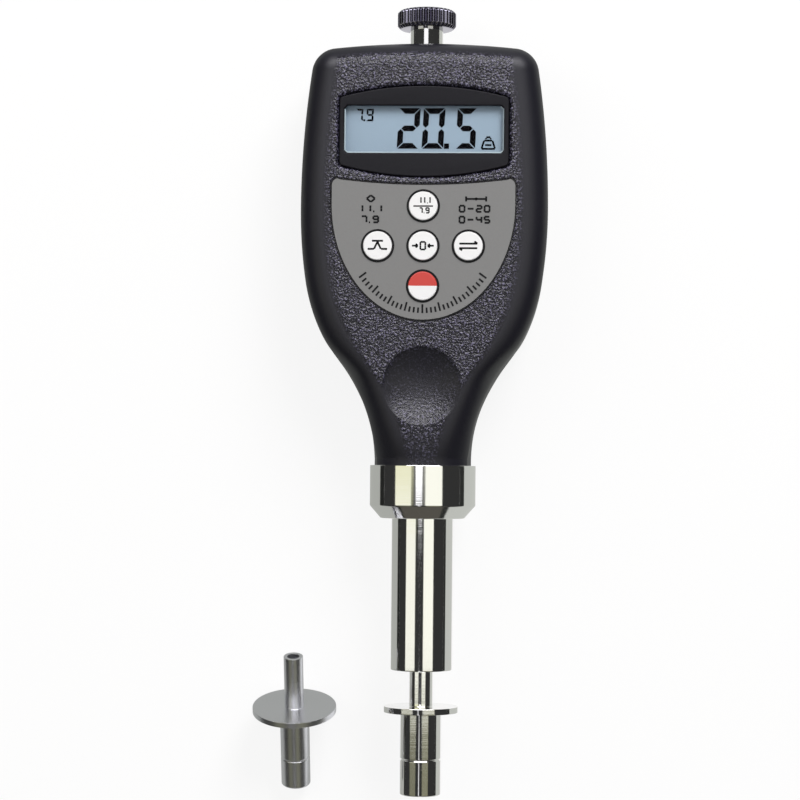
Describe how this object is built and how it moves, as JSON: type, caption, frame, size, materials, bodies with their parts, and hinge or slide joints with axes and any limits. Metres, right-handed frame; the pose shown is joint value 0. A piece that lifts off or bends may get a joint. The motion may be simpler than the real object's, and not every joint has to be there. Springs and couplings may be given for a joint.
{
  "type": "fruit hardness tester",
  "caption": "Hand-held digital penetrometer that presses a round tip into fruit, with a sprung guide tube, display, keys, thumb screw and a spare smaller tip",
  "frame": {"origin": "on the flat rear face of the rear shell, on the centre line, 32 mm above the casing's lower edge", "axes": "+Z is the outward normal of the front face, +Y runs along the rod towards the thumb screw, +X to the right as the display is read"},
  "size_m": [0.0786, 0.211, 0.0286],
  "materials": {
    "casing_plastic": "fine sparkling grain",
    "cover_plastic": "fine grain",
    "frame_plastic": "smooth, slightly glossy",
    "clear_window": "clear, glossy",
    "display_crystal": "grey-blue liquid crystal",
    "plate_grey": "satin grey",
    "key_white": "satin",
    "key_red_white": "satin, two colours",
    "mat_rubber": "moulded",
    "board_green": "lacquered board",
    "chip_black": "moulded",
    "strip_rubber": "layered",
    "white_plastic": "moulded",
    "chrome_body": "polished",
    "chrome_tip": "polished",
    "steel_spare": "satin",
    "steel_inner": "turned",
    "screw_steel": "zinc plated",
    "bush_brass": "turned",
    "core_iron": "ground",
    "winding_copper": "lacquered wire",
    "saddle_plastic": "moulded",
    "cell_wrap": "printed sleeve",
    "contact_metal": "nickel plated"
  },
  "bodies": {
    "tester": {"front_shell": "casing_plastic", "rear_shell": "casing_plastic", "contact_springs": "contact_metal", "contact_plates": "contact_metal", "display_frame": "frame_plastic", "display_window": "clear_window", "display_glass": "display_crystal", "display_holder": "white_plastic", "display_backing": "white_plastic", "contact_strips": "strip_rubber", "keypad_plate": "plate_grey", "key_mat": "mat_rubber", "circuit_board": "board_green", "board_chips": "chip_black", "case_screws": "screw_steel", "board_screws": "screw_steel", "collar": "chrome_body", "guide_tube": "chrome_body", "tube_nut": "steel_inner", "lower_bush": "bush_brass", "upper_bush": "bush_brass", "load_spring": "steel_inner", "sensor_bobbin": "white_plastic", "sensor_winding": "winding_copper", "sensor_saddle": "saddle_plastic", "sensor_strap": "steel_inner", "strap_screws": "screw_steel", "spare_tip": "steel_spare", "thumb_socket": "steel_inner", "battery_1": "cell_wrap", "battery_2": "cell_wrap", "battery_3": "cell_wrap", "battery_4": "cell_wrap"},
    "probe": {"probe_rod": "steel_inner", "measuring_tip": "chrome_tip", "sensor_core": "core_iron"},
    "tip_size_key": {"key_tip_size": "key_white"},
    "maximum_key": {"key_maximum": "key_white"},
    "zero_key": {"key_zero": "key_white"},
    "unit_key": {"key_unit": "key_white"},
    "power_key": {"key_power": "key_red_white"},
    "cover": {"battery_cover": "cover_plastic"},
    "screw_ring": {"thumb_ring": "steel_inner"},
    "thumb_screw": {"thumb_knob": "chrome_body", "thumb_stem": "chrome_body"}
  },
  "joints": [
    {"name": "probe_slide", "type": "slide", "parent": "tester", "child": "probe", "axis": [0, 1, 0], "range_m": [0, 0.0075], "stiffness_N_per_m": 19600, "deforming": ["load_spring"]},
    {"name": "tip_size_press", "type": "slide", "parent": "tester", "child": "tip_size_key", "axis": [0, 0, -1], "range_m": [0, 0.0005], "stiffness_N_per_m": 2000},
    {"name": "maximum_press", "type": "slide", "parent": "tester", "child": "maximum_key", "axis": [0, 0, -1], "range_m": [0, 0.0005], "stiffness_N_per_m": 2000},
    {"name": "zero_press", "type": "slide", "parent": "tester", "child": "zero_key", "axis": [0, 0, -1], "range_m": [0, 0.0005], "stiffness_N_per_m": 2000},
    {"name": "unit_press", "type": "slide", "parent": "tester", "child": "unit_key", "axis": [0, 0, -1], "range_m": [0, 0.0005], "stiffness_N_per_m": 2000},
    {"name": "power_press", "type": "slide", "parent": "tester", "child": "power_key", "axis": [0, 0, -1], "range_m": [0, 0.0005], "stiffness_N_per_m": 2000},
    {"name": "cover_hinge", "type": "hinge", "parent": "tester", "child": "cover", "pos_m": [0, 0.0666, 0.00025], "axis": [1, 0, 0], "range_deg": [0, 70]},
    {"name": "thumb_lift", "type": "slide", "parent": "tester", "child": "screw_ring", "axis": [0, 1, 0], "range_m": [0, 0.003]},
    {"name": "thumb_turn", "type": "hinge", "parent": "screw_ring", "child": "thumb_screw", "pos_m": [0, 0.0806, 0.0142], "axis": [0, 1, 0], "range_deg": [0, 1080]}
  ],
  "couplings": [
    {"joint": "thumb_lift", "follows": "thumb_turn", "m_per_rad": 0.00015915}
  ]
}
